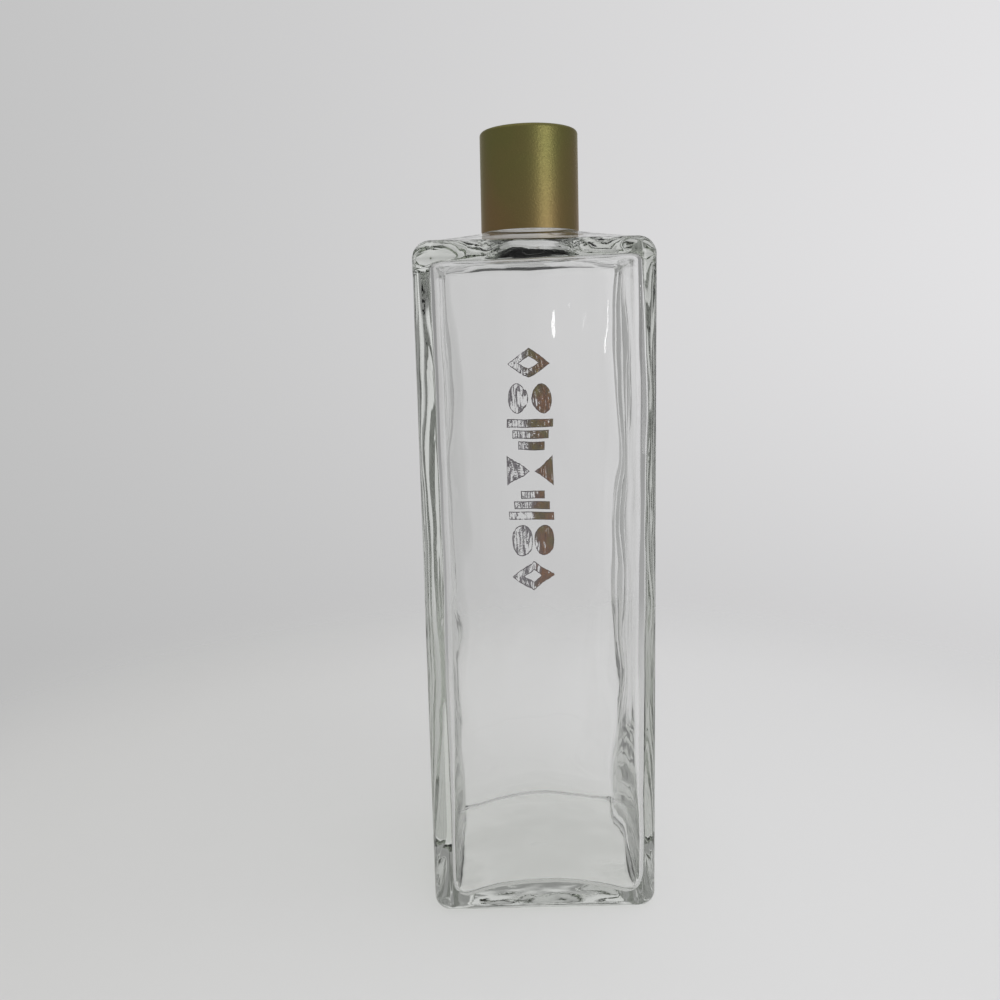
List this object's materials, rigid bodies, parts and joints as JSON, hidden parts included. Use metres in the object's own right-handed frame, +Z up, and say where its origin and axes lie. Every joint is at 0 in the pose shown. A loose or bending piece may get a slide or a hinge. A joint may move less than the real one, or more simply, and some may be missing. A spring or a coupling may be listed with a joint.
{
  "type": "square glass decanter",
  "caption": "Tall square decanter of thick clear glass with rounded edges, a domed floor and a straight satin metal cap over its short neck.",
  "frame": {"origin": "middle of the base, on the plane the decanter stands on", "axes": "+Z up through the neck; -Y is the plain front face; the worn ornament is on the +Y face; X across the front"},
  "size_m": [0.076, 0.076, 0.2614],
  "materials": {
    "clear_glass": "gloss",
    "cap_metal": "satin",
    "worn_foil": "worn"
  },
  "bodies": {
    "root": {"bottle": "clear_glass", "cap": "cap_metal"}
  },
  "joints": []
}
